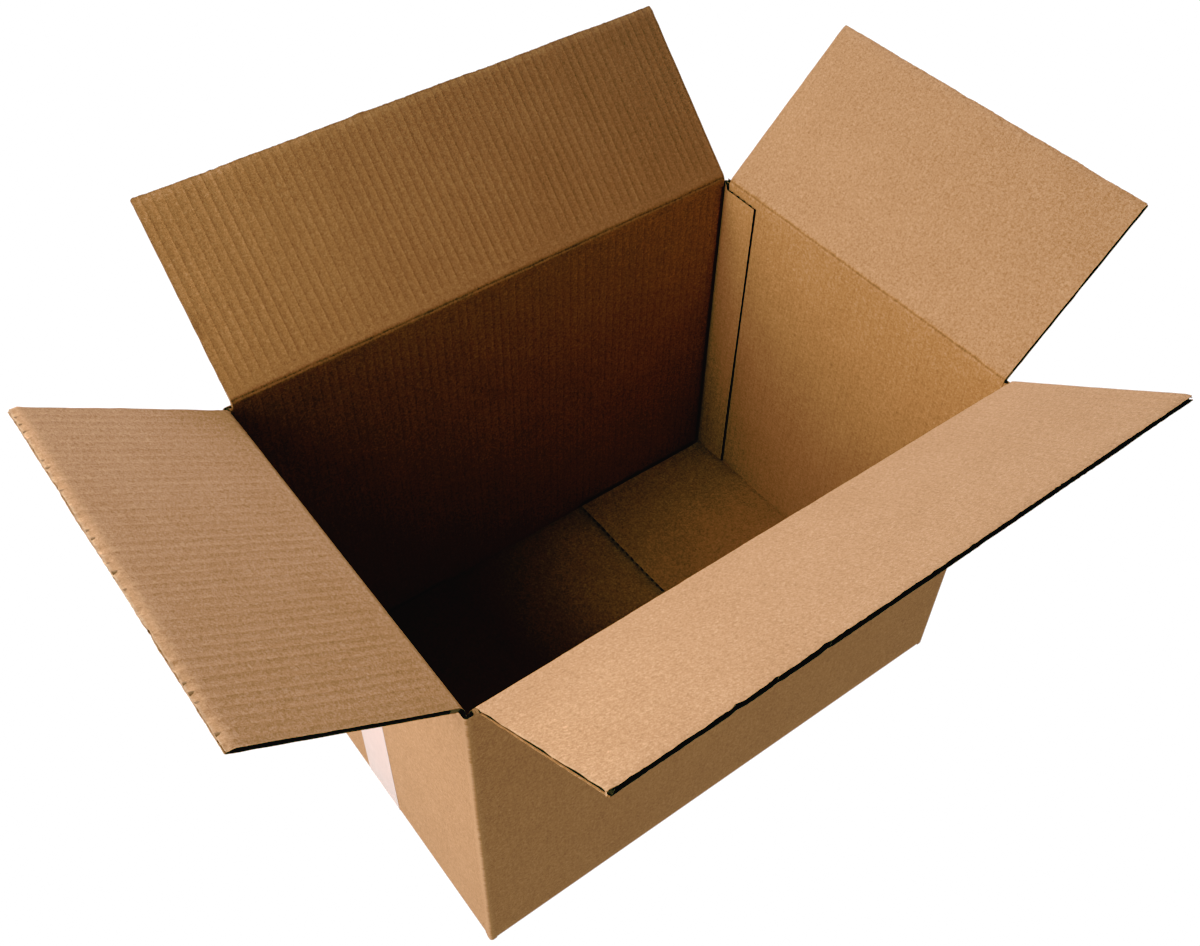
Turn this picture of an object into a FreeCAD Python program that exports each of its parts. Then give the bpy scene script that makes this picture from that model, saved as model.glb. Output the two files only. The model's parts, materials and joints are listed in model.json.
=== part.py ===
import FreeCAD, Part
import Sketcher
import os
import sys

# Open regular slotted carton in single-wall corrugated board, millimetres.
# Origin: middle of the underside. +X along the long side, +Y to the back, +Z up.
# The four walls, the glue tab and the bottom flaps are one folded sheet. Each
# top flap turns on its crease. The flutes run up the walls, and on every flap
# they run from the crease to the free edge.

doc = FreeCAD.newDocument("carton")
sheet = doc.addObject("Spreadsheet::Sheet", "dims")

CELLS = [
    ("length", 474.0),            # outside, along the long walls
    ("width", 319.0),             # outside, along the short walls
    ("board", 4.0),               # thickness of the corrugated board
    ("major_axis", 325.7),        # height of the crease axis on the long walls
    ("minor_axis", 321.4),        # one board and a gap lower on the short walls
    ("axis_out", 0.3),            # crease axis, outside the wall's outer face
    ("mitre_gap", 0.25),          # half the gap between wall rim and flap root
    ("flap_reach", 155.0),        # top flaps, from crease axis to free edge
    ("flap_inset", 7.0),          # side edge of a flap, in from the outer corner
    ("slot_gap", 0.5),            # side of the rim notch beside a flap
    ("stub_top", 321.8),          # bottom of the slots between the top flaps
    ("floor_reach", 158.0),       # bottom flaps, from the wall's outer face
    ("floor_inset", 6.5),         # side edge of a bottom flap, in from the corner
    ("fold_radius", 3.5),         # outside radius of the board's folds
    ("tab_reach", 37.7),          # glue tab, from the back wall's inner face
    ("tab_top", 316.6),           # top of the glue tab at its fold
    ("tab_drop", 4.5),            # how far the tab's top slants to its free edge
    ("tab_level", 14.0),          # level stretch of that top, beside the fold
    ("joint_step", 1.0),          # raw edge of the right wall, short of the back
    ("angle_back", 45.2),         # top flaps at rest, outward from upright
    ("angle_front", 54.7),
    ("angle_left", 58.1),
    ("angle_right", 47.7),
    ("tape_width", 48.0),
    ("tape_gauge", 0.12),
    ("tape_rise", 152.0),         # top of the tape on both short walls
    ("tape_bend", 5.9),           # height where it leaves the wall for the seam
    ("pitch", 7.66),              # one flute to the next
    ("liner", 0.3),               # facing paper
    ("medium", 0.25),             # fluted paper
    ("flute_narrow", 0.72),       # half width of a flute at its blind side
    ("flute_wide", 2.95),         # half width of a flute at its liner
    ("crush", 8.0),               # length beside a fold where flutes are closed
    ("major_flutes", 59.0),       # flutes across a long wall and its flaps
    ("minor_flutes", 39.0),       # flutes across a short wall and its flaps
]
value = {}
for row, (name, number) in enumerate(CELLS, start=1):
    sheet.set("A%d" % row, name)
    sheet.set("B%d" % row, str(number))
    sheet.setAlias("B%d" % row, name)
    value[name] = number
doc.recompute()


class Size:
    """A number and the sheet expression that gives it."""

    def __init__(self, number, text):
        self.number, self.text = float(number), text

    def _with(self, other, sign):
        if not isinstance(other, Size):
            other = Size(other, "%r" % float(other) if other >= 0 else "(%r)" % float(other))
        text = "(%s %s %s)" % (self.text, sign, other.text)
        number = {
            "+": lambda p, q: p + q,
            "-": lambda p, q: p - q,
            "*": lambda p, q: p * q,
            "/": lambda p, q: p / q,
        }[sign](self.number, other.number)
        return Size(number, text)

    def __add__(self, other):
        return self._with(other, "+")

    def __sub__(self, other):
        return self._with(other, "-")

    def __mul__(self, other):
        return self._with(other, "*")

    def __truediv__(self, other):
        return self._with(other, "/")

    def __neg__(self):
        return Size(-self.number, "(-1 * %s)" % self.text)


def cell(name):
    return Size(value[name], "dims." + name)


ZERO = Size(0.0, "0")
half_l = cell("length") / 2
half_w = cell("width") / 2
board = cell("board")


def bound(target, prop, size):
    """Binds one property to the sheet."""
    target.setExpression(prop, size.text)


def new_body(label):
    body = doc.addObject("PartDesign::Body", label)
    body.Label = label
    return body


def origin_plane(body, role):
    for feature in body.Origin.OriginFeatures:
        if feature.Role == role:
            return feature
    raise RuntimeError(role)


def loops_sketch(body, name, plane, loops, height=None):
    """A sketch of closed straight-sided loops. Every corner is held by its two
    distances from the origin, and both are bound to the sheet."""
    sketch = body.newObject("Sketcher::SketchObject", name)
    sketch.AttachmentSupport = [(origin_plane(body, plane), "")]
    sketch.MapMode = "FlatFace"
    if height is not None:
        bound(sketch, "AttachmentOffset.Base.z", height)
    lines, rules, bindings = [], [], []
    first = 0
    for loop in loops:
        count = len(loop)
        for i, (x, y) in enumerate(loop):
            nx, ny = loop[(i + 1) % count]
            lines.append(Part.LineSegment(
                FreeCAD.Vector(x.number, y.number, 0),
                FreeCAD.Vector(nx.number, ny.number, 0)))
        for i, (x, y) in enumerate(loop):
            k = first + i
            rules.append(Sketcher.Constraint("Coincident", first + (i - 1) % count, 2, k, 1))
            for kind, size, axis in (("DistanceX", x, -2), ("DistanceY", y, -1)):
                if abs(size.number) < 1e-9:
                    rules.append(Sketcher.Constraint("PointOnObject", k, 1, axis))
                else:
                    bindings.append((len(rules), size))
                    rules.append(Sketcher.Constraint(kind, -1, 1, k, 1, size.number))
        first += count
    sketch.addGeometry(lines, False)
    sketch.addConstraint(rules)
    for index, size in bindings:
        sketch.setExpression("Constraints[%d]" % index, size.text)
    return sketch





def pad(body, name, sketch, length, both=False, reverse=False):
    feature = body.newObject("PartDesign::Pad", name)
    feature.Profile = sketch
    feature.Midplane = both
    feature.Reversed = reverse
    bound(feature, "Length", length)
    return feature


def pocket(body, name, sketch, length=None, both=False, reverse=False):
    feature = body.newObject("PartDesign::Pocket", name)
    feature.Profile = sketch
    feature.Midplane = both
    feature.Reversed = reverse
    if length is None:
        feature.Type = 1
    else:
        bound(feature, "Length", length)
    return feature


def edges_where(feature, test):
    found = []
    for i, edge in enumerate(feature.Shape.Edges, start=1):
        ends = [v.Point for v in edge.Vertexes]
        if len(ends) == 2 and test(ends[0], ends[1]):
            found.append("Edge%d" % i)
    return found


def close(p, q):
    return abs(p - q) < 1e-4


def fold(body, name, test, radius):
    """Rounds the outside of a fold of the board."""
    doc.recompute()
    base = body.Tip
    feature = body.newObject("PartDesign::Fillet", name)
    feature.Base = (base, edges_where(base, test))
    bound(feature, "Radius", radius)
    doc.recompute()
    return feature


def row(body, name, feature, role, count, pitch):
    """Repeats a feature along an origin axis."""
    pattern = body.newObject("PartDesign::LinearPattern", name)
    pattern.Originals = [feature]
    pattern.Direction = (origin_plane(body, role), [""])
    pattern.Mode = "Extent"
    bound(pattern, "Length", pitch * (count - 1))
    bound(pattern, "Occurrences", count)
    body.Tip = pattern
    return pattern


def rectangle(x0, x1, y0, y1):
    return [(x0, y0), (x1, y0), (x1, y1), (x0, y1)]


def flute_pair(start, across, face, inward):
    """Two neighbouring flutes, one open to each liner, as loops.

    start: along the board, across: a function that places (along, depth),
    face: outer face of the board, inward: +1 or -1 for its thickness."""
    narrow, wide = cell("flute_narrow"), cell("flute_wide")
    near = cell("liner")
    blind = cell("liner") + cell("medium")
    loops = []
    for middle, flip in ((start, False), (start + cell("pitch") / 2, True)):
        a, b = (near, board - blind) if not flip else (board - near, blind)
        loop = [(middle - wide, a), (middle + wide, a), (middle + narrow, b), (middle - narrow, b)]
        loops.append([across(p, face + d * inward) for p, d in loop])
    return loops


def along_x(p, d):
    return (p, d)


def along_y(p, d):
    return (d, p)


# ---------------------------------------------------------------- carton body
carton = new_body("carton_body")

rim_high = cell("major_axis") - cell("axis_out") - cell("mitre_gap")
inner_l = half_l - board
inner_w = half_w - board
inset = cell("flap_inset") - cell("slot_gap")

# Plan of the four walls with the glue tab inside the right wall. At the back
# right corner the right wall's raw edge laps the fold of the tab.
bend = cell("fold_radius")
outer_loop = [
    (-half_l, -half_w), (half_l, -half_w),
    (half_l, half_w - cell("joint_step")), (inner_l, half_w - cell("joint_step")),
] + [
    (inner_l - bend * (1.0 - along), half_w - bend * (1.0 - back))
    for along, back in ((1.0, 0.0), (0.92388, 0.38268), (0.70711, 0.70711),
                        (0.38268, 0.92388), (0.0, 1.0))
] + [
    (-half_l, half_w),
]
tab_x = inner_l - board
tab_y = inner_w - cell("tab_reach")
inner_loop = [
    (-inner_l, -inner_w), (inner_l, -inner_w), (inner_l, tab_y), (tab_x, tab_y),
    (tab_x, inner_w), (-inner_l, inner_w),
]
walls_plan = loops_sketch(carton, "walls_plan", "XY_Plane", [outer_loop, inner_loop])
walls = pad(carton, "walls", walls_plan, rim_high)
L2, W2 = value["length"] / 2, value["width"] / 2


def is_upright_fold(a, b):
    return (close(a.x, b.x) and close(a.y, b.y)
            and close(abs(a.x), L2) and close(abs(a.y), W2))


fold(carton, "upright_folds", is_upright_fold, cell("fold_radius"))

# Bottom flaps: the major pair is the underside, the minor pair lies on it.
fold_x = half_l - cell("floor_inset")
fold_y = half_w - cell("floor_inset")
major_floor = loops_sketch(carton, "major_floor_plan", "XY_Plane", [
    rectangle(-fold_x, fold_x, -(half_w - 1.0), -(half_w - cell("floor_reach"))),
    rectangle(-fold_x, fold_x, half_w - cell("floor_reach"), half_w - 1.0),
])
pad(carton, "major_floor", major_floor, board)
minor_floor = loops_sketch(carton, "minor_floor_plan", "XY_Plane", [
    rectangle(-(half_l - 1.0), -(half_l - cell("floor_reach")), -fold_y, fold_y),
    rectangle(half_l - cell("floor_reach"), half_l - 1.0, -fold_y, fold_y),
], board)
pad(carton, "minor_floor", minor_floor, board)

# The short walls stop at their own fold, one board up. The side edges of the
# major bottom flaps stand back under them, and so do the slots at the corners.
under_short = loops_sketch(carton, "under_short_plan", "XY_Plane", [
    rectangle(-(half_l + 2.0), -fold_x, -(half_w + 2.0), half_w + 2.0),
    rectangle(fold_x, half_l + 2.0, -(half_w + 2.0), half_w + 2.0),
])
pocket(carton, "under_short", under_short, board, reverse=True)


def is_long_fold(a, b):
    return (close(a.z, 0) and close(b.z, 0) and close(abs(a.y), W2)
            and close(a.y, b.y) and abs(a.x - b.x) > 100)


def is_short_fold(a, b):
    return (close(a.z, value["board"]) and close(b.z, value["board"])
            and close(abs(a.x), L2) and close(a.x, b.x) and abs(a.y - b.y) > 100)


fold(carton, "long_bottom_folds", is_long_fold, cell("fold_radius"))
fold(carton, "short_bottom_folds", is_short_fold, cell("fold_radius"))

# Mitred rims under the top flaps.
y_axis = half_w + cell("axis_out")
x_axis = half_l + cell("axis_out")
over = cell("major_axis") + 10.0
lead = cell("mitre_gap")


def rim_loop(side, axis_at, height, depth):
    """Everything above a 45 degree plane that falls inward from the crease."""
    near = axis_at + 2.0
    far = axis_at - depth
    points = [
        (near, height - lead + 2.0),
        (far, height - lead - depth),
        (far, over),
        (near, over),
    ]
    return [((p if side > 0 else -p), q) for p, q in points]


major_rims = loops_sketch(carton, "major_rim_plan", "YZ_Plane", [
    rim_loop(side, y_axis, cell("major_axis"), board + 2.0) for side in (-1, 1)])
pocket(carton, "major_rims", major_rims, (half_l - inset) * 2, both=True)
minor_rims = loops_sketch(carton, "minor_rim_plan", "XZ_Plane", [
    rim_loop(side, x_axis, cell("minor_axis"), board + 2.0) for side in (-1, 1)])
pocket(carton, "minor_rims", minor_rims, (half_w - inset) * 2, both=True)

# Slots between the top flaps: the wall ends here as a short stub.
stubs = loops_sketch(carton, "stub_plan", "XY_Plane", [
    rectangle(sx_low, sx_high, sy_low, sy_high)
    for sx_low, sx_high in ((-(half_l + 2.0), -(half_l - inset)), (half_l - inset, half_l + 2.0))
    for sy_low, sy_high in ((-(half_w + 2.0), -(half_w - inset)), (half_w - inset, half_w + 2.0))
], cell("stub_top"))
pocket(carton, "stubs", stubs, reverse=True)

# Top of the glue tab: level beside its fold, then slanting to its free edge.
tab_face = loops_sketch(carton, "tab_plan", "YZ_Plane", [[
    (tab_y - 2.0, cell("tab_top") - cell("tab_drop")),
    (tab_y, cell("tab_top") - cell("tab_drop")),
    (inner_w - cell("tab_level"), cell("tab_top")),
    (inner_w, cell("tab_top")),
    (inner_w, over),
    (tab_y - 2.0, over),
]], tab_x - 1.0)
pocket(carton, "tab_end", tab_face, board + 1.0, reverse=True)

# The tape sits pressed into the board under the seam.
tape_bed = loops_sketch(carton, "tape_bed_plan", "XY_Plane", [
    rectangle(-(fold_x + 1.0), fold_x + 1.0, -(cell("tape_width") / 2 + 0.1), cell("tape_width") / 2 + 0.1)])
pocket(carton, "tape_bed", tape_bed, cell("tape_gauge"), reverse=True)
doc.recompute()


FLUTES = True
if FLUTES:
    # Flutes in the walls, open at the rim and closed at the bottom folds.
    start_x = -(cell("pitch") * (cell("major_flutes") - 0.5) / 2)
    start_y = -(cell("pitch") * (cell("minor_flutes") - 0.5) / 2)
    crush = cell("crush")
    wall_x = loops_sketch(
        carton, "long_wall_flute", "XY_Plane",
        flute_pair(start_x, along_x, -half_w, 1) + flute_pair(start_x, along_x, half_w, -1),
        board + crush)
    cut = pocket(carton, "long_wall_flutes", wall_x, None, reverse=True)
    row(carton, "long_wall_row", cut, "X_Axis", cell("major_flutes"), cell("pitch"))
    wall_y = loops_sketch(
        carton, "short_wall_flute", "XY_Plane",
        flute_pair(start_y, along_y, -half_l, 1) + flute_pair(start_y, along_y, half_l, -1),
        board + crush)
    cut = pocket(carton, "short_wall_flutes", wall_y, None, reverse=True)
    row(carton, "short_wall_row", cut, "Y_Axis", cell("minor_flutes"), cell("pitch"))
    # Flutes in the bottom flaps, open at their free edges.
    floor_x = loops_sketch(
        carton, "major_floor_flute", "XZ_Plane",
        flute_pair(start_x, along_x, ZERO, 1))
    cut = pocket(carton, "major_floor_flutes", floor_x, (half_w - crush) * 2, both=True)
    row(carton, "major_floor_row", cut, "X_Axis", cell("major_flutes"), cell("pitch"))
    floor_y = loops_sketch(
        carton, "minor_floor_flute", "YZ_Plane",
        flute_pair(start_y, along_x, board, 1))
    cut = pocket(carton, "minor_floor_flutes", floor_y, (half_l - crush) * 2, both=True)
    row(carton, "minor_floor_row", cut, "Y_Axis", cell("minor_flutes"), cell("pitch"))
    doc.recompute()


# ------------------------------------------------------------------ top flaps
def top_flap(label, plane, side, width, angle, turn, base_at, flutes):
    """A flap drawn upright on its own crease axis and then turned outward.

    plane: the plane across the crease, side: +1 where the inside of the carton
    is on the positive side, width: along the crease, turn: rotation axis."""
    body = new_body(label)
    out = cell("axis_out")
    gap = cell("mitre_gap")
    reach = cell("flap_reach")
    points = [
        (out, out + gap), (out + board, out + board + gap),
        (out + board, reach), (out, reach),
    ]
    profile = loops_sketch(body, label + "_section", plane,
                           [[((p if side > 0 else -p), q) for p, q in points]])
    pad(body, label + "_board", profile, width, both=True)
    if FLUTES:
        begin = -(cell("pitch") * (flutes - 0.5) / 2)
        place = along_x if plane == "YZ_Plane" else along_y
        face = out if side > 0 else -out
        channel = loops_sketch(body, label + "_flute", "XY_Plane",
                               flute_pair(begin, place, face, side), cell("crush"))
        cut = pocket(body, label + "_flutes", channel, None, reverse=True)
        row(body, label + "_row", cut, "X_Axis" if plane == "YZ_Plane" else "Y_Axis",
            flutes, cell("pitch"))
    body.Placement = FreeCAD.Placement(
        FreeCAD.Vector(*[p.number for p in base_at]), FreeCAD.Rotation(turn, angle.number))
    for letter, size in zip("xyz", base_at):
        bound(body, "Placement.Base." + letter, size)
    bound(body, "Placement.Rotation.Angle", angle)
    return body


major_width = (half_l - cell("flap_inset")) * 2
minor_width = (half_w - cell("flap_inset")) * 2
top_flap("flap_front", "YZ_Plane", 1, major_width, cell("angle_front"),
         FreeCAD.Vector(1, 0, 0), (ZERO, -y_axis, cell("major_axis")), cell("major_flutes"))
top_flap("flap_back", "YZ_Plane", -1, major_width, cell("angle_back"),
         FreeCAD.Vector(-1, 0, 0), (ZERO, y_axis, cell("major_axis")), cell("major_flutes"))
top_flap("flap_left", "XZ_Plane", 1, minor_width, cell("angle_left"),
         FreeCAD.Vector(0, -1, 0), (-x_axis, ZERO, cell("minor_axis")), cell("minor_flutes"))
top_flap("flap_right", "XZ_Plane", -1, minor_width, cell("angle_right"),
         FreeCAD.Vector(0, 1, 0), (x_axis, ZERO, cell("minor_axis")), cell("minor_flutes"))

# ----------------------------------------------------------------------- tape
# One strip: up the left wall, under the seam and up the right wall.
tape = new_body("sealing_tape")
gauge = cell("tape_gauge")
outside = [
    (half_l + gauge, cell("tape_rise")),
    (half_l + gauge, cell("tape_bend") - gauge * 0.45),
    (fold_x + gauge * 0.38, ZERO),
]
inside = [
    (half_l, cell("tape_rise")),
    (half_l, cell("tape_bend")),
    (fold_x, gauge),
]
strip = ([(-x, z) for x, z in outside] + [(x, z) for x, z in reversed(outside)]
         + [(x, z) for x, z in inside] + [(-x, z) for x, z in reversed(inside)])
strip_section = loops_sketch(tape, "strip_section", "XZ_Plane", [strip])
pad(tape, "strip", strip_section, cell("tape_width"), both=True)

doc.recompute()

# --------------------------------------------------------------------- output
NODES = ["carton_body", "flap_back", "flap_front", "flap_left", "flap_right", "sealing_tape"]
faults = []
for item in doc.Objects:
    if any(word in ("Invalid", "Error") for word in item.State):
        faults.append("%s: %s" % (item.Name, item.State))
shapes = {}
for node in NODES:
    body = doc.getObjectsByLabel(node)[0]
    shape = body.Shape
    if shape.isNull() or not shape.isValid() or len(shape.Solids) != 1:
        faults.append("%s: bad shape, %d solids" % (node, 0 if shape.isNull() else len(shape.Solids)))
    else:
        box = shape.BoundBox
        print("%-13s volume %.1f cm3  faces %d  x %.2f..%.2f  y %.2f..%.2f  z %.2f..%.2f" % (
            node, shape.Volume / 1000, len(shape.Faces),
            box.XMin, box.XMax, box.YMin, box.YMax, box.ZMin, box.ZMax))
    shapes[node] = shape
if faults:
    print("\n".join(faults))
    sys.exit(1)
os.makedirs("parts", exist_ok=True)
for node, shape in shapes.items():
    shape.exportStep(os.path.join("parts", node + ".step"))
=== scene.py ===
import bpy
import json
import math
import numpy as np
from mathutils import Matrix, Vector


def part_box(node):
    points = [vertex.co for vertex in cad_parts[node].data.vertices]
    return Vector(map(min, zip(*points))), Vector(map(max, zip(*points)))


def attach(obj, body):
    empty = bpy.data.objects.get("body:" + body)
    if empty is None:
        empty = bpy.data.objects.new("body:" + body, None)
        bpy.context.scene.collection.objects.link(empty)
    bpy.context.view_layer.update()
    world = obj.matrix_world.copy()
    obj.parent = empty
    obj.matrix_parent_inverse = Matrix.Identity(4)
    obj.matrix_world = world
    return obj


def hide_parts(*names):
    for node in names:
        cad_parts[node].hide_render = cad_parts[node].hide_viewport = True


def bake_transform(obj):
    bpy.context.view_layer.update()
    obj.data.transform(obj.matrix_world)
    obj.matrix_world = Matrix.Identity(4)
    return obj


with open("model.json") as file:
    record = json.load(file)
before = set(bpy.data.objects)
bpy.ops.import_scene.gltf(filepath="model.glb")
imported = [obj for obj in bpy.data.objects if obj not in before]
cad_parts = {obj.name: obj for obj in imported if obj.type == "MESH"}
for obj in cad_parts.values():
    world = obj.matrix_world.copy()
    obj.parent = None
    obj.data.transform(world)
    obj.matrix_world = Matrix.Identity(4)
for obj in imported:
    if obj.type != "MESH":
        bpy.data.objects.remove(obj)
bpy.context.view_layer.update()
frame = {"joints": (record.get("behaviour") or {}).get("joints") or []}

# Everything below is drawn in millimetres in the part's frame, then scaled.
MM = 0.001
PITCH = 7.66
BOARD = 4.0
LINER = 0.30
PAPER = 0.25
REACH = 154.2
JOINTS = {j["name"]: j for j in frame["joints"]}
lo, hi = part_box("carton_body")
HALF_L, HALF_W = hi.x / MM, hi.y / MM
HIGH = {
    "back": JOINTS["back_crease"]["pos_m"][2] / MM,
    "front": JOINTS["front_crease"]["pos_m"][2] / MM,
    "left": JOINTS["left_crease"]["pos_m"][2] / MM,
    "right": JOINTS["right_crease"]["pos_m"][2] / MM,
}
HIGH["right"] += 0.9   # the glued wall stands a little proud at its rim
PROUD = {"right": 0.5}
OUT = 0.3          # crease axis, outside the wall's outer face
BAND = 7.0         # half length of the crease strip, from the axis
STUB = 321.8       # wall height in the slots between the flaps
RADIUS = 3.5       # outer radius of a fold
LIFT = 0.15        # the underside rests on its tape

# Per side: unit vector along the crease, inward normal, half length of the wall,
# half width of the flap, flutes, and how far the flap leans out and slides along
# at its two ends (degrees from upright, millimetres at the free edge).
SIDES = {
    "back": dict(e=(1, 0), n=(0, -1), half=HALF_L, flutes=59, lean=(45.3, 47.3), slide=(0.9, 4.6), wash=0.17),
    "front": dict(e=(1, 0), n=(0, 1), half=HALF_L, flutes=59, lean=(55.9, 54.8), slide=(-0.1, -6.4), wash=0.08),
    "left": dict(e=(0, 1), n=(1, 0), half=HALF_W, flutes=39, lean=(57.8, 58.6), slide=(1.8, 0.3), wash=0.19),
    "right": dict(e=(0, 1), n=(-1, 0), half=HALF_W, flutes=39, lean=(48.9, 45.8), slide=(3.6, -1.6), wash=0.05),
}
INSET = 7.0


# ------------------------------------------------------------------- helpers
def smooth(a, b, x):
    t = np.clip((x - a) / (b - a), 0.0, 1.0)
    return t * t * (3 - 2 * t)


def noise1(x, seed, scale):
    table = np.random.RandomState(seed).uniform(-1, 1, 4096)
    q = np.asarray(x, float) / scale + 1000.0
    i = np.floor(q).astype(int)
    f = q - i
    f = f * f * (3 - 2 * f)
    return table[i % 4096] * (1 - f) + table[(i + 1) % 4096] * f


def noise2(x, y, seed, sx, sy):
    table = np.random.RandomState(seed).uniform(-1, 1, (256, 256))
    p, q = np.asarray(x, float) / sx + 500.0, np.asarray(y, float) / sy + 500.0
    i, j = np.floor(p).astype(int), np.floor(q).astype(int)
    f, g = p - i, q - j
    f, g = f * f * (3 - 2 * f), g * g * (3 - 2 * g)
    a = table[i % 256, j % 256] * (1 - f) + table[(i + 1) % 256, j % 256] * f
    b = table[i % 256, (j + 1) % 256] * (1 - f) + table[(i + 1) % 256, (j + 1) % 256] * f
    return a * (1 - g) + b * g


def phase(s, flutes):
    """Flute phase across the board: the medium touches the inner liner at 0."""
    return 2 * math.pi * (s + PITCH * (flutes - 0.5) / 2) / PITCH


def warp(P):
    """The open rim stands a little wider than the base."""
    k = np.clip((314.4 - P[..., 2]) / 314.4, 0, 1)
    out = P.copy()
    out[..., 0] = P[..., 0] * (1 - k * (1 - 468.0 / 474.0)) - 1.9 * k
    out[..., 1] = P[..., 1] * (1 - k * (1 - 315.0 / 319.0)) + 1.7 * k
    inside = smooth(156.5, 154.5, np.abs(P[..., 1]))
    side = inside * smooth(224, 228.5, P[..., 0]) + (1 - inside) * smooth(230, 232.9, P[..., 0])
    out[..., 0] += PROUD["right"] * side * smooth(80, 305, P[..., 2])
    return out


class Shape:
    """Collects grids of quads with the board's own coordinates on each corner."""

    def __init__(self):
        self.v, self.f, self.a, self.m, self.n = [], [], [], [], 0

    def points(self, P, A):
        first = self.n
        self.v.append(P.reshape(-1, 3))
        self.a.append(A.reshape(-1, 4))
        self.n += P.shape[0] * P.shape[1]
        return first + np.arange(P.shape[0] * P.shape[1]).reshape(P.shape[:2])

    def quads(self, a, b, c, d, mat):
        q = np.stack([a.ravel(), b.ravel(), c.ravel(), d.ravel()], 1)
        self.f.append(q)
        self.m.append(np.full(len(q), mat, np.int32))

    def slab(self, P0, P1, A0, A1=None, mat=0, rim=None):
        """A closed sheet between two grids of the same size."""
        rim = mat if rim is None else rim
        i = self.points(P0, A0)
        j = self.points(P1, A0 if A1 is None else A1)
        r, c = P0.shape[0] // 2, P0.shape[1] // 2
        u = P0[min(r + 1, P0.shape[0] - 1), c] - P0[r - 1 if r else 0, c]
        w = P0[r, min(c + 1, P0.shape[1] - 1)] - P0[r, c - 1 if c else 0]
        good = np.dot(np.cross(u, w), P0[r, c] - P1[r, c]) > 0
        if not good:
            i, j = i[:, ::-1], j[:, ::-1]
        self.quads(i[:-1, :-1], i[1:, :-1], i[1:, 1:], i[:-1, 1:], mat)
        self.quads(j[:-1, :-1], j[:-1, 1:], j[1:, 1:], j[1:, :-1], mat)
        for a, b in ((i[0], j[0]), (i[:, -1], j[:, -1]), (i[-1, ::-1], j[-1, ::-1]), (i[::-1, 0], j[::-1, 0])):
            self.quads(a[:-1], a[1:], b[1:], b[:-1], rim)

    def build(self, name, mats, sharp=35.0):
        V = np.concatenate(self.v) * MM
        F = np.concatenate(self.f)
        A = np.concatenate(self.a)
        M = np.concatenate(self.m)
        mesh = bpy.data.meshes.new(name)
        mesh.vertices.add(len(V))
        mesh.vertices.foreach_set("co", V.astype(np.float32).ravel())
        mesh.loops.add(len(F) * 4)
        mesh.loops.foreach_set("vertex_index", F.astype(np.int32).ravel())
        mesh.polygons.add(len(F))
        mesh.polygons.foreach_set("loop_start", np.arange(0, len(F) * 4, 4, dtype=np.int32))
        mesh.polygons.foreach_set("material_index", M)
        mesh.update(calc_edges=True)
        for m in mats:
            mesh.materials.append(m)
        at = mesh.attributes.new("sheet", "FLOAT_VECTOR", "POINT")
        at.data.foreach_set("vector", (A[:, :3]).astype(np.float32).ravel())
        at = mesh.attributes.new("shade", "FLOAT", "POINT")
        at.data.foreach_set("value", A[:, 3].astype(np.float32))
        mesh.polygons.foreach_set("use_smooth", np.ones(len(F), bool))
        mesh.validate(clean_customdata=False)
        mesh.set_sharp_from_angle(angle=math.radians(sharp))
        ob = bpy.data.objects.new(name, mesh)
        bpy.context.scene.collection.objects.link(ob)
        print(name, len(F) * 2, "triangles")
        return ob


def attr(s, t, layer, shade=0.0):
    """Board coordinates in metres: along the crease, along the flutes, layer."""
    A = np.zeros(s.shape + (4,))
    A[..., 0] = s * MM
    A[..., 1] = t * MM
    A[..., 2] = layer
    A[..., 3] = shade
    return A


def columns(half, per_flute, ends=True):
    n = int(round(2 * half / PITCH * per_flute))
    s = np.linspace(-half, half, n + 1)
    if ends:
        extra = [0.25, 0.5, 0.8, 1.6]
        s = np.unique(np.round(np.concatenate([s, [-half + e for e in extra], [half - e for e in extra]]), 4))
    return s


GATHER = np.array([0.0, 0.055, 0.13, 0.32, 0.5, 0.68, 0.87, 0.945])


def crests(low, high, flutes, layer, gather=GATHER):
    """Columns between two ends, closer where the medium is glued to this liner."""
    first = -PITCH * (flutes - 0.5) / 2 + (0.5 * PITCH if layer == 0 else 0.0)
    k = np.arange(-2, flutes + 3)
    s = (first + (k[:, None] + gather[None, :]) * PITCH).ravel()
    return s[(s > low + 0.12) & (s < high - 0.12)]


def flap_columns(half, flutes, layer):
    ends = np.array([0.0, 0.25, 0.5, 0.8, 1.6])
    s = crests(-half + 1.6, half - 1.6, flutes, layer)
    return np.sort(np.concatenate([s, -half + ends, half - ends]))


def line(s, flutes, layer):
    """1 on the glue lines, falling off quickly beside them."""
    x = phase(s, flutes) / (2 * math.pi) + (0.5 if layer == 0 else 0.0)
    x = (x + 0.5) % 1.0 - 0.5
    return np.exp(-((x - 0.03) / 0.05) ** 2)


def sag(s, flutes, seed, amount, t=0.0):
    """Washboard depth: how far a liner sinks between the flute tips (outer, inner)."""
    ph = phase(s, flutes)
    vary = 1.0 + 0.35 * noise1(s, seed, PITCH * 1.3) + 0.25 * noise2(s, t + 0 * s, seed + 1, PITCH * 2.0, 45.0)
    outer = amount * vary * np.abs(np.cos(ph / 2))
    inner = amount * vary * np.abs(np.sin(ph / 2))
    return outer, inner


def wave(s, flutes):
    return BOARD / 2 + (BOARD / 2 - LINER - PAPER / 2) * np.cos(phase(s, flutes))


# ---------------------------------------------------------------- the materials
def node(tree, kind, **settings):
    n = tree.nodes.new(kind)
    for key, val in settings.items():
        if key in ("inputs",):
            for slot, v in val.items():
                n.inputs[slot].default_value = v
        else:
            setattr(n, key, val)
    return n


def ramp(tree, stops):
    n = tree.nodes.new("ShaderNodeValToRGB")
    el = n.color_ramp.elements
    while len(el) > 1:
        el.remove(el[-1])
    el[0].position, el[0].color = stops[0][0], (*stops[0][1], 1)
    for pos, col in stops[1:]:
        e = el.new(pos)
        e.color = (*col, 1)
    return n


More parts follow.
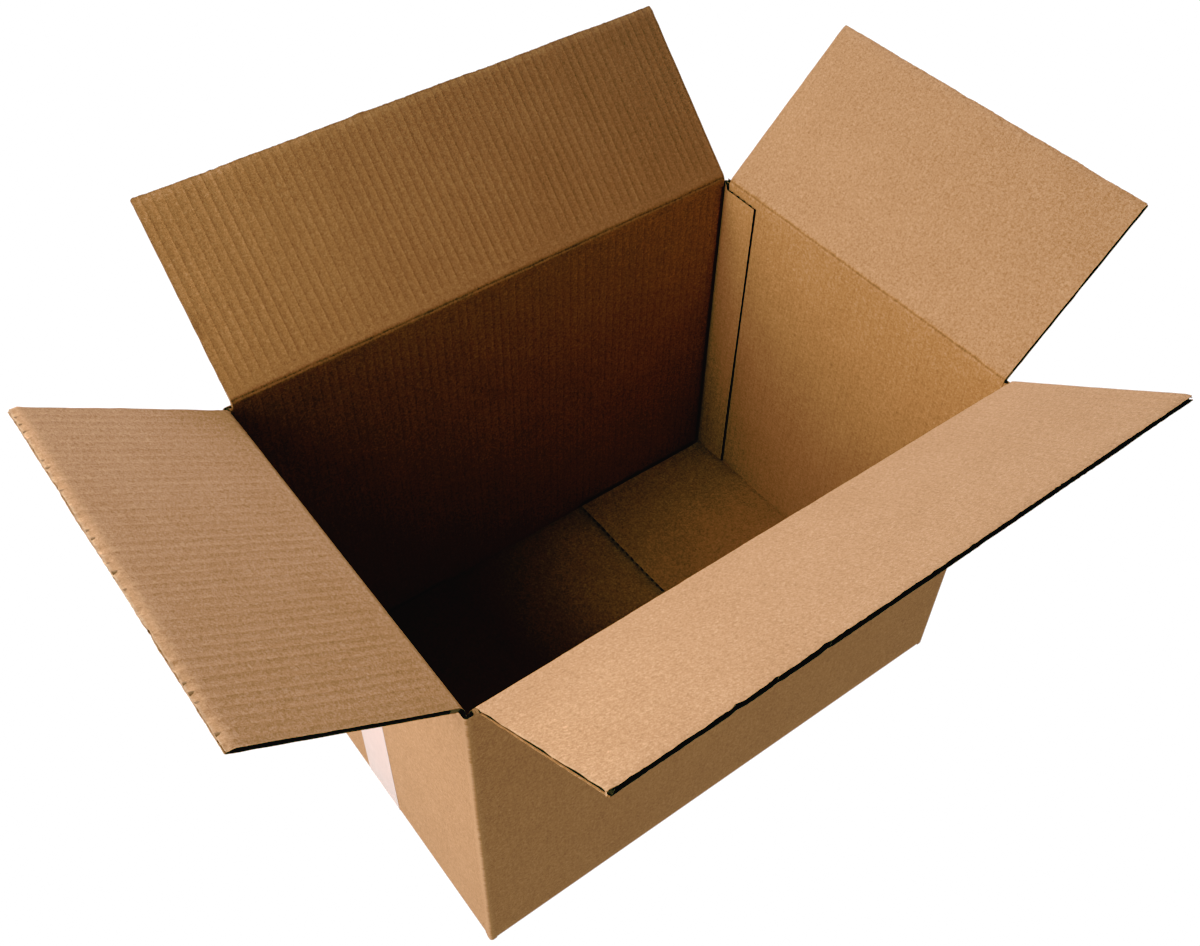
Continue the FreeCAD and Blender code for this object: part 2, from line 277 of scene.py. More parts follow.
def kraft(name, dark, mid, light, rough=0.80, grain=1.0, rise=0.45):
    mat = bpy.data.materials.new(name)
    mat.use_nodes = True
    t = mat.node_tree
    t.nodes.clear()
    L = t.links.new
    out = node(t, "ShaderNodeOutputMaterial")
    bsdf = node(t, "ShaderNodeBsdfPrincipled")
    bsdf.inputs["Specular IOR Level"].default_value = 0.25
    L(bsdf.outputs[0], out.inputs[0])
    co = node(t, "ShaderNodeAttribute", attribute_name="sheet")
    sh = node(t, "ShaderNodeAttribute", attribute_name="shade")

    def noise(stretch, scale, detail, roughness, distortion=0.0, shift=(0.0, 0.0, 0.0)):
        m = node(t, "ShaderNodeMapping", vector_type="POINT")
        m.inputs["Scale"].default_value = stretch
        m.inputs["Location"].default_value = shift
        L(co.outputs["Vector"], m.inputs["Vector"])
        n = node(t, "ShaderNodeTexNoise", noise_dimensions="3D")
        n.inputs["Scale"].default_value = scale
        n.inputs["Detail"].default_value = detail
        n.inputs["Roughness"].default_value = roughness
        n.inputs["Distortion"].default_value = distortion
        L(m.outputs[0], n.inputs["Vector"])
        return n.outputs["Fac"]

    def mul(a, k):
        n = node(t, "ShaderNodeMath", operation="MULTIPLY")
        L(a, n.inputs[0])
        n.inputs[1].default_value = k
        return n.outputs[0]

    def add(a, b):
        n = node(t, "ShaderNodeMath", operation="ADD")
        L(a, n.inputs[0])
        if hasattr(b, "links"):
            L(b, n.inputs[1])
        else:
            n.inputs[1].default_value = b
        return n.outputs[0]

    # short fibres both ways, fine specks, a faint cloudiness and faint streaks along the flutes
    across = noise((1.0, 0.62, 3.0), 640.0, 4.0, 0.66, 0.7)
    along = noise((0.62, 1.0, 3.0), 760.0, 3.0, 0.62, 0.5, (3.1, 1.7, 0.4))
    speck = noise((1.0, 1.0, 3.0), 1500.0, 2.0, 0.6, 0.0, (0.7, 5.1, 0.9))
    cloud = noise((1.0, 1.0, 2.0), 26.0, 3.0, 0.5)
    streak = noise((1.0, 0.05, 2.0), 330.0, 2.0, 0.5)
    # sparse dark flecks
    fleck = node(t, "ShaderNodeMapRange")
    fleck.inputs["From Min"].default_value = 0.66
    fleck.inputs["From Max"].default_value = 0.78
    fleck.inputs["To Min"].default_value = 0.0
    fleck.inputs["To Max"].default_value = -0.30 * grain
    L(noise((1.0, 0.6, 3.0), 520.0, 3.0, 0.7, 1.0, (8.3, 2.2, 1.3)), fleck.inputs["Value"])
    total = add(mul(across, 1.00 * grain), mul(along, 0.80 * grain))
    total = add(total, mul(speck, 0.80 * grain))
    total = add(total, mul(cloud, 0.14))
    total = add(total, mul(streak, 0.07))
    total = add(total, fleck.outputs["Result"])
    total = add(total, 0.5 - 0.5 * (2.60 * grain + 0.21))
    total = add(total, sh.outputs["Fac"])
    r = ramp(t, [(0.0, dark), (0.5, mid), (1.0, light)])
    L(total, r.inputs["Fac"])
    L(r.outputs["Color"], bsdf.inputs["Base Color"])
    rr = node(t, "ShaderNodeMapRange")
    rr.inputs["From Min"].default_value = 0.3
    rr.inputs["From Max"].default_value = 0.7
    rr.inputs["To Min"].default_value = rough - 0.08
    rr.inputs["To Max"].default_value = min(1.0, rough + 0.10)
    L(across, rr.inputs["Value"])
    L(rr.outputs["Result"], bsdf.inputs["Roughness"])
    hgt = add(mul(across, 0.5), mul(speck, 0.5))
    bump = node(t, "ShaderNodeBump")
    bump.inputs["Strength"].default_value = rise
    bump.inputs["Distance"].default_value = 0.0003
    L(hgt, bump.inputs["Height"])
    L(bump.outputs[0], bsdf.inputs["Normal"])
    return mat


KRAFT = kraft("kraft_liner", (0.200, 0.110, 0.050), (0.420, 0.245, 0.125), (0.620, 0.420, 0.250))
# The fluting and the cut edges are far darker than the liner: partly their own colour, partly painted shade for the
# shadowed flute hollows and cut edges.
FLUTE_WITH_SHADE = kraft("fluting_paper_with_painted_shade", (0.040, 0.023, 0.012), (0.120, 0.070, 0.036), (0.230, 0.150, 0.085), rough=0.9)
CUT_WITH_SHADE = kraft("cut_paper_with_painted_shade", (0.075, 0.042, 0.021), (0.210, 0.125, 0.066), (0.420, 0.290, 0.175), rough=0.92, grain=1.2)
BOARD_MATS = [KRAFT, FLUTE_WITH_SHADE, CUT_WITH_SHADE]


def tape_material():
    mat = bpy.data.materials.new("packing_tape")
    mat.use_nodes = True
    t = mat.node_tree
    t.nodes.clear()
    L = t.links.new
    out = node(t, "ShaderNodeOutputMaterial")
    bsdf = node(t, "ShaderNodeBsdfPrincipled")
    bsdf.inputs["Specular IOR Level"].default_value = 0.45
    bsdf.inputs["Coat Weight"].default_value = 0.15
    bsdf.inputs["Coat Roughness"].default_value = 0.25
    L(bsdf.outputs[0], out.inputs[0])
    co = node(t, "ShaderNodeAttribute", attribute_name="sheet")
    m1 = node(t, "ShaderNodeMapping", vector_type="POINT")
    m1.inputs["Scale"].default_value = (1.0, 0.12, 1.0)
    L(co.outputs["Vector"], m1.inputs["Vector"])
    n1 = node(t, "ShaderNodeTexNoise")
    n1.inputs["Scale"].default_value = 420.0
    n1.inputs["Detail"].default_value = 4.0
    L(m1.outputs[0], n1.inputs["Vector"])
    n2 = node(t, "ShaderNodeTexNoise")
    n2.inputs["Scale"].default_value = 38.0
    n2.inputs["Detail"].default_value = 5.0
    n2.inputs["Roughness"].default_value = 0.65
    L(co.outputs["Vector"], n2.inputs["Vector"])
    mix = node(t, "ShaderNodeMath", operation="MULTIPLY_ADD")
    L(n1.outputs["Fac"], mix.inputs[0])
    mix.inputs[1].default_value = 0.45
    L(n2.outputs["Fac"], mix.inputs[2])
    r = ramp(t, [(0.30, (0.48, 0.385, 0.345)), (0.62, (0.54, 0.437, 0.397)), (1.0, (0.58, 0.48, 0.44))])
    L(mix.outputs[0], r.inputs["Fac"])
    L(r.outputs["Color"], bsdf.inputs["Base Color"])
    rr = node(t, "ShaderNodeMapRange")
    rr.inputs["From Min"].default_value = 0.35
    rr.inputs["From Max"].default_value = 0.65
    rr.inputs["To Min"].default_value = 0.32
    rr.inputs["To Max"].default_value = 0.50
    L(n2.outputs["Fac"], rr.inputs["Value"])
    L(rr.outputs["Result"], bsdf.inputs["Roughness"])
    bump = node(t, "ShaderNodeBump")
    bump.inputs["Strength"].default_value = 0.3
    bump.inputs["Distance"].default_value = 0.0004
    L(n2.outputs["Fac"], bump.inputs["Height"])
    L(bump.outputs[0], bsdf.inputs["Normal"])
    return mat


TAPE = tape_material()


# ------------------------------------------------------------ flap and crease
def side_frame(side):
    S = SIDES[side]
    e = np.array([*S["e"], 0.0])
    n = np.array([*S["n"], 0.0])
    origin = -n * ((HALF_W if side in ("back", "front") else HALF_L) + OUT + PROUD.get(side, 0.0))
    origin[2] = HIGH[side]
    return S, e, n, origin


def lean_at(S, s):
    h = S["half"] - INSET
    f = (s + h) / (2 * h)
    a = S["lean"][0] * (1 - f) + S["lean"][1] * f
    slide = S["slide"][0] * (1 - f) + S["slide"][1] * f
    return np.radians(a), slide


def on_flap(side, s, v, d):
    """A point of a flap at rest: s along the crease, v out from it, d deep."""
    S, e, n, o = side_frame(side)
    th, slide = lean_at(S, s)
    up = np.array([0, 0, 1.0])
    c, k = np.cos(th)[..., None], np.sin(th)[..., None]
    inward = n * c + up * k
    outward = -n * k + up * c
    along = e * (s + slide * np.clip(v, 0, None) / REACH)[..., None]
    return o + along + inward * (OUT + d)[..., None] + outward * v[..., None]


def on_wall(side, s, z, d):
    S, e, n, o = side_frame(side)
    base = o.copy()
    base[2] = 0.0
    P = base + e * s[..., None] + n * (OUT + d)[..., None]
    P[..., 2] = z
    return P


def spread(start, stop, near, far, middle):
    """Rows between two ends, closer together at both."""
    body = np.linspace(start + sum(near), stop - sum(far), middle)
    a = start + np.concatenate([[0], np.cumsum(near)[:-1]]) if near else np.array([])
    b = stop - np.concatenate([[0], np.cumsum(far)[:-1]])[::-1] if far else np.array([])
    return np.concatenate([a, body, b])


# On the left flap the extra value lightens the cut edge: a painted highlight where the lamp catches it.
EDGE = {
    "back": dict(seed=21, torn=0.8, glue=0.20, pinch=0.9, bumps=[(-48.0, 6.0, 0.9), (60.0, 9.0, -0.5), (-170.0, 5.0, -0.6)]),
    "front": dict(seed=22, torn=1.8, glue=0.07, pinch=0.8, bumps=[(-147.0, 3.0, -1.3), (-120.0, 2.5, -1.0), (-84.0, 3.5, -1.1), (40.0, 6.0, -0.4)]),
    "left": dict(seed=23, edge_highlight=0.5, torn=0.2, glue=0.15, pinch=2.3, bumps=[(-60.0, 4.0, -0.8), (70.0, 5.0, -0.6)]),
    "right": dict(seed=24, torn=0.8, glue=0.05, pinch=0.9, bumps=[(20.0, 6.0, -0.4), (-90.0, 5.0, 0.4)]),
}


def flap_mesh(side):
    S, e, n, o = side_frame(side)
    half = S["half"] - INSET
    E = EDGE[side]
    shape = Shape()
    rows = spread(0.0, 1.0, [0.012, 0.02, 0.03], [0.004, 0.008, 0.016, 0.03], 17)

    def grid(cols, rws, layer):
        s, r = np.meshgrid(cols, rws)
        seed = E["seed"] + layer * 7
        edge = REACH + 0.14 * noise1(s, seed, 1.7) + 0.14 * noise1(s, seed + 1, 5.3) + 0.30 * noise1(s, seed + 2, 38.0)
        # small tears in the cut edge
        torn = np.clip(noise1(s, seed + 3, 2.3) - 0.45, 0, 1) * np.clip(noise1(s, seed + 4, 31.0) + 0.35, 0, 1)
        edge = edge - E["torn"] * torn * (1.0 if layer else 0.5)
        for at, wide, tall in E["bumps"]:
            edge = edge + tall * np.exp(-((s - at) / wide) ** 2)
        corner = 0.9
        over = np.clip(np.abs(s) - (half - corner), 0, corner)
        edge = edge - (corner - np.sqrt(np.clip(corner ** 2 - over ** 2, 0, None)))
        v = BAND + (edge - BAND) * r
        near = np.clip((np.abs(s) - (half - 1.7)) / 1.7, 0, 1)
        side_shift = 0.16 * noise1(v, seed + 5, 4.0) + 0.12 * noise1(v, seed + 6, 1.9)
        rough_side = smooth(0.0, 1.0, -s / half) if side == "front" else smooth(0.0, 1.0, s / half) * (side == "left")
        side_shift = side_shift + 0.55 * layer * rough_side * noise1(v, seed + 7, 3.1)
        fade = smooth(BAND, BAND + 6, v)
        s = s + np.sign(s) * near * side_shift * fade
        return s, v

    def lift(s, v):
        """Slow waves of the whole board, none at the crease."""
        k = smooth(8, 60, v)
        return 0.32 * k * noise2(s, v, E["seed"] + 30, 95.0, 70.0)

    def wash_amount(s, v):
        a = S["wash"]
        if side == "front":
            a = 0.035 + 0.07 * smooth(-60, 160, s)
        k = smooth(BAND - 2, BAND + 5, v)
        return a * k

    for layer in (0, 1):
        s, v = grid(flap_columns(half, S["flutes"], layer), rows, layer)
        so, si = sag(s, S["flutes"], E["seed"] + 40 + layer, wash_amount(s, v), v)
        w = lift(s, v)
        if layer == 0:
            d0, d1 = so + w, so + LINER + w
        else:
            pinch = E["pinch"] * smooth(REACH - 5.5, REACH, v) * (1 + 0.25 * noise1(s, E["seed"] + 33, 5.0))
            d0, d1 = BOARD - si + w - pinch, BOARD - LINER - si + w - pinch
            if side == "back":
                peel = 1.1 * np.exp(-((v - 60) / 5.0) ** 2) * smooth(half - 5, half, -s)
                d0, d1 = d0 + peel, d1 + peel
            if side == "front":
                peel = 0.5 * np.clip(noise1(v, 911, 7.0) + 0.5, 0, 1) * smooth(half - 3, half, -s) * smooth(20, 50, v)
                peel = peel + 0.8 * smooth(REACH - 9, REACH, v) * smooth(half - 9, half, -s)
                d0, d1 = d0 + peel, d1 + peel
        # painted highlight on the left flap's lit cut edge
        painted_edge_highlight = E.get("edge_highlight", 0.0) * smooth(REACH - 1.2, REACH - 0.3, v)
        glue = line(s, S["flutes"], layer) * smooth(BAND - 2, BAND + 8, v)
        glue = glue * (0.7 + 0.3 * noise2(s, v, E["seed"] + 44, 9.0, 40.0))
        edge_dark = -0.10 * np.exp(-((REACH - v) / 1.6) ** 2) - E["glue"] * glue + painted_edge_highlight
        if layer == 1:
            if side == "front":
                edge_dark = edge_dark + 0.22 * smooth(half - 1.8, half - 0.4, -s) * np.clip(noise1(v, 917, 4.0) + 0.4, 0, 1)
        A = attr(s - 0 * s, v, 0.013 * (1 + layer) + 0.1 * E["seed"], edge_dark)
        A[..., 0] += PITCH * (S["flutes"] - 0.5) / 2 * MM
        shape.slab(on_flap(side, s, v, d0), on_flap(side, s, v, d1), A, mat=0, rim=2)
    # fluted medium
    s2 = columns(half - 0.35, 10, ends=False)
    s, r = np.meshgrid(s2, np.array([0.0, 0.35, 0.7, 0.93, 0.975, 1.0]))
    seed = E["seed"] + 60
    edge = REACH - 0.35 + 0.28 * noise1(s, seed, 1.3) + 0.2 * noise1(s, seed + 2, 9.0)
    v = BAND + (edge - BAND) * r
    w = lift(s, v)
    squeeze = 1 - E["pinch"] / (BOARD - 2 * LINER) * smooth(REACH - 5.5, REACH, v)
    mid = LINER + (wave(s, S["flutes"]) - LINER) * squeeze + w
    # the medium at the left flap's edge carries the same painted highlight
    A = attr(s, v, 0.2 + 0.1 * E["seed"], -0.05 + E.get("edge_highlight", 0.0))
    slope = np.abs(np.sin(phase(s, S["flutes"])))
    th = PAPER / 2 * (1 + 0.55 * slope)
    shape.slab(on_flap(side, s, v, mid - th), on_flap(side, s, v, mid + th), A, mat=1, rim=1)
    return shape.build("flap_" + side + "_board", BOARD_MATS)


# Per side: groove half width, how far it is crushed, how far the whole fold is pressed,
# how much painted shade darkens the groove, and the painted highlight on the shoulder beside it and where it sits.
FOLD = {
    "back": dict(wide=0.55, crush=0.07, press=0.0, dark=0.34, light=0.0, at=0.0),
    "front": dict(wide=2.6, crush=0.55, press=0.35, dark=0.0, light=0.14, at=0.4),
    "left": dict(wide=0.8, crush=0.10, press=0.05, dark=0.10, light=0.10, at=1.6),
    "right": dict(wide=0.6, crush=0.07, press=0.0, dark=0.36, light=0.0, at=0.0),
}


def crease_mesh(side):
    """The crushed fold line between a wall and its flap."""
    S, e, n, o = side_frame(side)
    half = S["half"] - INSET
    shape = Shape()
    cols = flap_columns(half, S["flutes"], 1)
    tau = np.array([-7, -5.8, -4.8, -4.0, -3.3, -2.7, -2.2, -1.75, -1.35, -1.0, -0.7, -0.4, -0.15, 0.15, 0.4, 0.7,
                    1.0, 1.35, 1.75, 2.2, 2.7, 3.4, 4.2, 5.4, 7.0])
    s, t = np.meshgrid(cols, tau)
    seed = EDGE[side]["seed"] + 80
    C = FOLD[side]

    def place(depth):
        wide = C["wide"] * (1 + 0.12 * noise1(s, seed, 21.0))
        wander = 0.18 * noise1(s, seed + 1, 15.0)
        groove = np.exp(-((t + wander) / wide) ** 2)
        amount = S["wash"] * smooth(3.0, 6.8, np.abs(t))
        layer = 1 if depth > 1 else 0
        so, si = sag(s, S["flutes"], EDGE[side]["seed"] + 40 + layer, amount, t + 7)
        k = C["crush"] * (1 + 0.16 * noise1(s, seed + 2, 6.0) + 0.08 * noise1(s, seed + 3, 1.9))
        if depth > 1:
            d = (BOARD - si) * (1 - k * groove) - C["press"] * np.exp(-(t / 3.2) ** 2)
        else:
            d = so + 0 * s
        w = smooth(-2.6, 2.6, t)[..., None]
        P_w = on_wall(side, s, HIGH[side] + t, d)
        P_f = on_flap(side, s, t, d)
        return P_w * (1 - w) + P_f * w, wander

    inner, wander = place(4)
    outer, g2 = place(0)
    # painted shade along the groove, and a painted highlight on the fold's shoulder
    shade = -C["dark"] * np.exp(-((t + wander) / (0.75 * C["wide"])) ** 2)
    shade = shade + C["light"] * np.exp(-((t + wander - C["at"]) / 0.8) ** 2)
    shade = shade * (1 + 0.3 * noise1(s, seed + 9, 4.0))
    A1 = attr(s, t, 0.026 + 0.1 * EDGE[side]["seed"], shade)
    A1[..., 0] += PITCH * (S["flutes"] - 0.5) / 2 * MM
    shape.slab(inner, outer, A1, attr(s, t, 0.013, 0.0), mat=0, rim=2)
    return shape.build("crease_" + side, BOARD_MATS)


# ------------------------------------------------------------- walls and floor
CORNER = 2.5       # outer radius of the upright corners, and how far they are crushed
SCORE = 0.4


def wall_path(per_flute, breaks=True, layer=None):
    """Columns round the walls, from the glue tab to the right wall's raw edge:
    x, y, inward nx, ny, s, flutes, crush, top, bottom."""
    rows = []
    R = CORNER

    def straight(x0, y0, x1, y1, nx, ny, side, ends):
        along_x = abs(x1 - x0) > abs(y1 - y0)
        half = HALF_L if along_x else HALF_W
        length = math.hypot(x1 - x0, y1 - y0)
        count = max(2, int(round(length / PITCH * per_flute)))
        f = list(np.linspace(0, 1, count + 1))
        a, b = (x0, x1) if along_x else (y0, y1)
        if layer is not None:
            low_s, high_s = min(a, b), max(a, b)
            c = crests(low_s, high_s, 59 if along_x else 39, layer, WALL_GATHER)
            f = [0.0, 1.0] + list((c - a) / (b - a))
        if breaks and side != "tab":
            for c in (half - INSET, half - INSET + 0.5):
                for g in (-c, c):
                    q = (g - a) / (b - a)
                    if 0 < q < 1:
                        f.append(q)
        for q in sorted(set(np.round(f, 7))):
            x, y = x0 + (x1 - x0) * q, y0 + (y1 - y0) * q
            s = x if along_x else y
            gap = min(abs(s - a), abs(s - b)) if side != "tab" else abs(s - b)
            if side == "right" and s > 0:
                gap = 99.0
            crush = 1 - SCORE * math.exp(-(gap / 2.6) ** 2)
            flat = float(smooth(1.02 - SCORE, 0.99, crush))
            flutes = 59 if along_x else 39
            if side == "tab":
                q2 = (s - (HALF_W - BOARD - 37.7)) / 37.7
                low = 8.3
                top = 315.8 + 0.3 * min(1.0, q2 * 37.7 / (37.7 - 14.0))
                crush = crush * 0.62
                if s > 152.6:
                    top = STUB
            elif abs(s) <= half - INSET + 1e-6:
                top = HIGH[side] - BAND
                low = 9.0 if along_x else 12.0
            else:
                top, low = STUB, (4.2 if abs(s) < half - INSET + 1.0 else 1.2)
            rows.append((x, y, nx, ny, s, flutes, crush, top, low, flat))

    def arc(cx, cy, a0, a1, s_at, flutes):
        for q in np.linspace(0, 1, 7)[1:-1]:
            a = math.radians(a0 + (a1 - a0) * q)
            x, y = cx + R * math.cos(a), cy + R * math.sin(a)
            rows.append((x, y, -math.cos(a), -math.sin(a), s_at, flutes, 1 - SCORE, STUB, 1.2, 0.0))

    L, W = HALF_L, HALF_W
    tab_x = L - BOARD
    straight(tab_x, W - BOARD - 37.7, tab_x, W - R, -1, 0, "tab", True)
    arc(tab_x - R, W - R, 0, 90, 0, 59)
    straight(tab_x - R, W, -(L - R), W, 0, -1, "back", True)
    arc(-(L - R), W - R, 90, 180, 0, 59)
    straight(-L, W - R, -L, -(W - R), 1, 0, "left", True)
    arc(-(L - R), -(W - R), 180, 270, 0, 59)
    straight(-(L - R), -W, L - R, -W, 0, 1, "front", True)
    arc(L - R, -(W - R), 270, 360, 0, 59)
    straight(L, -(W - R), L, W - 1.0, -1, 0, "right", True)
    return np.array(rows)


WALL_GATHER = np.array([0.0, 0.06, 0.16, 0.5, 0.84, 0.94])


def walls_mesh():
    shape = Shape()
    rr = spread(0.0, 1.0, [0.006, 0.012, 0.03], [0.008, 0.016, 0.03], 9)

    def place(path, d, z):
        X, Y, NX, NY = (path[:, k][None, :] for k in range(4))
        crush = path[:, 6][None, :]
        P = np.zeros(d.shape + (3,))
        P[..., 0] = X + NX * d * crush
        P[..., 1] = Y + NY * d * crush
        P[..., 2] = z
        return P

    for layer in (0, 1):
        path = wall_path(6, layer=layer)
        fl = path[:, 5][None, :] + 0 * rr[:, None]
        s = path[:, 4][None, :] + 0 * rr[:, None]
        top, low = path[:, 7][None, :], path[:, 8][None, :]
        run = np.concatenate([[0], np.cumsum(np.hypot(np.diff(path[:, 0]), np.diff(path[:, 1])))])[None, :] + 0 * rr[:, None]
        z = low + (top - low) * rr[:, None]
        z = z + 0.22 * noise1(run, 301 + layer, 1.6) * (np.abs(top - STUB) < 0.1) * (rr[:, None] > 0.999)
        flat = path[:, 9][None, :]
        count = np.where(fl > 50, 59, 39)
        ph = phase(s, count)
        vary = 1 + 0.35 * noise1(run, 150 + layer, PITCH * 1.2)
        a = (0.045 if layer == 0 else 0.10) * flat * vary
        bulge = 0.35 * noise2(run, z, 160, 120.0, 90.0) * smooth(9, 60, z) * smooth(320, 260, z) * flat
        bulge = bulge * (1 - (fl < 50) * smooth(42, 26, np.abs(s)) * smooth(190, 162, z))    # flat under the tape
        if layer == 0:
            d0 = a * np.abs(np.cos(ph / 2)) + bulge
            d1 = d0 + LINER
        else:
            d0 = BOARD - a * np.abs(np.sin(ph / 2)) + bulge
            d1 = d0 - LINER
        # painted shade inside the upright corners, and a painted highlight on their rounded outside
        shade = (-0.35 if layer == 1 else 0.10) * (1 - flat) ** 2
        shade = shade - (0.10 if layer == 1 else 0.04) * flat * line(s, count, layer)
        if layer == 0:
            shade = shade - 0.07      # the outer liner is a little darker
        A = attr(run, z, 0.5 + 0.03 * layer, shade)
        A[..., 0] = (s + PITCH * (fl - 0.5) / 2) * MM
        A[..., 2] += 0.01 * np.floor(np.searchsorted([38.0, 505.0, 826.0, 1300.0], run))
        shape.slab(warp(place(path, d0, z)), warp(place(path, d1, z)), A, mat=0, rim=2)
    path = wall_path(10)
    r3 = np.array([0.0, 0.5, 0.985, 1.0])
    s = path[:, 4][None, :] + 0 * r3[:, None]
    fl = path[:, 5][None, :] + 0 * r3[:, None]
    top, low = path[:, 7][None, :], path[:, 8][None, :]
    z = low + (top - 0.35 - low) * r3[:, None]
    z = z + 0.2 * noise1(s + 0.37 * fl, 331, 1.3) * (r3[:, None] > 0.999)
    flat = path[:, 9][None, :]
    ph = phase(s, np.where(fl > 50, 59, 39))
    mid = BOARD / 2 + (BOARD / 2 - LINER - PAPER / 2) * np.cos(ph) * flat
    th = PAPER / 2 * (1 + 0.55 * np.abs(np.sin(ph)))
    run = np.concatenate([[0], np.cumsum(np.hypot(np.diff(path[:, 0]), np.diff(path[:, 1])))])[None, :] + 0 * s
    A = attr(run, z, 0.9, -0.05)
    shape.slab(warp(place(path, mid - th, z)), warp(place(path, mid + th, z)), A, mat=1, rim=1)
    return shape


BOTTOM_GATHER = np.array([0.0, 0.08, 0.5, 0.92])


def floor_flap(shape, side):
    """A bottom flap with its fold, from the wall's foot to the free edge."""
    S, e, n, o = side_frame(side)
    major = side in ("back", "front")
    base = LIFT + (0.0 if major else BOARD)
    half = S["half"] - 6.5
    start = 9.0 if major else 12.0
    R = RADIUS
    prof = []
    for z in np.linspace(start, base + R, 3):
        prof.append((0.0, z, 1.0, 0.0, 1.0 - 0.2 * math.exp(-((z - base - R) / 2.6) ** 2)))
    for q in np.linspace(0, 1, 6)[1:]:
        a = math.radians(90 * q)
        prof.append((R - R * math.cos(a), base + R - R * math.sin(a), math.cos(a), math.sin(a), 0.8))
    for u in [R + 1.5, R + 4, 12, 30, 60, 90, 120, 140, 152, 156, 157.2, 158.0]:
        prof.append((u, base, 0.0, 1.0, 1.0 - 0.2 * math.exp(-((u - R) / 2.6) ** 2)))
    prof = np.array(prof)
    cols = np.sort(np.concatenate([crests(-half, half, S["flutes"], 1, BOTTOM_GATHER), [-half, half]]))
    s, k = np.meshgrid(cols, np.arange(len(prof)))
    U, Z, NU, NZ, C = (prof[k, c] for c in range(5))
    seed = {"back": 401, "front": 402, "left": 403, "right": 404}[side]
    flutes = S["flutes"]
    ph = phase(s, flutes)
    foot = np.cumsum(np.concatenate([[0], np.hypot(np.diff(prof[:, 0]), np.diff(prof[:, 1]))]))[k]
    free = (U > 156.5)
    U = U + free * (0.22 * noise1(s, seed, 1.9) + 0.3 * noise1(s, seed + 1, 30.0))
    flat = smooth(0.80, 0.99, C)
    settle = 0.0 if major else 0.35

    def place(d):
        d = d * C
        P = np.zeros(s.shape + (3,))
        wall = -n * (HALF_W if major else HALF_L)
        P[..., :2] = (wall[:2] + e[:2] * s[..., None] + n[:2] * (U + NU * d)[..., None])
        P[..., 2] = Z + NZ * d + settle * smooth(20, 150, U) * (1 + 0.5 * noise1(s, seed + 5, 60.0))
        return P

    for layer in (0, 1):
        a = 0.10 * flat * (1 + 0.3 * noise1(s, seed + 2 + layer, PITCH))
        if layer == 0:
            d0 = a * (1 + np.cos(ph)) / 2
            d1 = d0 + LINER
        else:
            d0 = BOARD - a * np.abs(np.sin(ph / 2))
            d1 = d0 - LINER
        # painted shade: a little darker round the fold
        A = attr(s, 400 + foot, 0.7 + 0.03 * layer + 0.1 * (seed - 400), -0.05 * (1 - flat))
        A[..., 0] += PITCH * (flutes - 0.5) / 2 * MM
        shape.slab(warp(place(d0)), warp(place(d1)), A, mat=0, rim=2)
    cols = columns(half - 0.35, 8, ends=False)
    s, k = np.meshgrid(cols, np.arange(len(prof)))
    pick = [0, 2, 4, 7, 9, 12, 15, 17, 18, 19]
    s, k = s[pick], k[pick]
    U, Z, NU, NZ, C = (prof[k, c] for c in range(5))
    U = U - (U > 157.5) * (0.3 + 0.25 * noise1(s, seed + 9, 1.5))
    ph = phase(s, flutes)
    flat = smooth(0.80, 0.99, C)
    mid = BOARD / 2 + (BOARD / 2 - LINER - PAPER / 2) * np.cos(ph) * flat
    th = PAPER / 2 * (1 + 0.55 * np.abs(np.sin(ph)))
    A = attr(s, 400 + U, 1.1, -0.05)
    shape.slab(warp(place(mid - th)), warp(place(mid + th)), A, mat=1, rim=1)


def tape_mesh():
    """One strip: up the left wall, under the seam, up the right wall."""
    shape = Shape()
    rise = 152.0
    half = []
    for z in np.linspace(rise, 9.0, 46):
        half.append((HALF_L, z, 1.0, 0.0))
    for q in np.linspace(0, 1, 8):
        a = math.radians(90 * q)
        half.append((HALF_L - 7 + 7 * math.cos(a), 7.03 - 7 * math.sin(a), math.cos(a), -math.sin(a)))
    for x in np.linspace(HALF_L - 12, 0, 40)[:-1]:
        half.append((x, 0.03, 0.0, -1.0))
    half = np.array(half)
    other = half[::-1].copy()
    other[:, 0] *= -1
    other[:, 2] *= -1
    path = np.concatenate([half, [[0.0, 0.03, 0.0, -1.0]], other])
    run = np.concatenate([[0], np.cumsum(np.hypot(np.diff(path[:, 0]), np.diff(path[:, 1])))])
    w = np.linspace(-24, 24, 33)
    y, k = np.meshgrid(w, np.arange(len(path)))
    x, z, nx, nz = (path[k, c] for c in range(4))
    r = run[k]
    # toothed ends from the dispenser's blade
    end = ((k == 0) | (k == len(path) - 1))
    tooth = 1.1 * np.abs(((y / 1.5) % 2) - 1)
    z = z - end * tooth
    on_side = (np.abs(x) > HALF_L - 0.5) & (z > 12)
    rip = np.abs(noise2(y, r, 601, 9.0, 40.0)) * 0.10 + 0.16 * np.clip(noise2(y, r, 602, 3.0, 26.0) - 0.55, 0, 1)
    stand = (0.02 + rip) * on_side
    P = np.stack([x + nx * (0.13 + stand), y + 0.25 * noise1(r, 603, 60.0), z], -1)
    P[..., 2] = np.where(z < 0.2, 0.01, P[..., 2])
    Q = np.stack([x + nx * 0.015, P[..., 1], z - nz * 0.11], -1)
    Q[..., 2] = np.where(z < 0.2, 0.125, Q[..., 2])
    A = attr(y, r, 1.5)
    shape.slab(warp(P), warp(Q), A, mat=0)
    return shape.build("seam_tape", [TAPE], sharp=60)


for side in ("back", "front", "left", "right"):
    body = side + "_flap"
    ob = flap_mesh(side)
    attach(ob, body)
    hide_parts("flap_" + side)
    ob = crease_mesh(side)
    S, e, n, o = side_frame(side)
    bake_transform(ob)



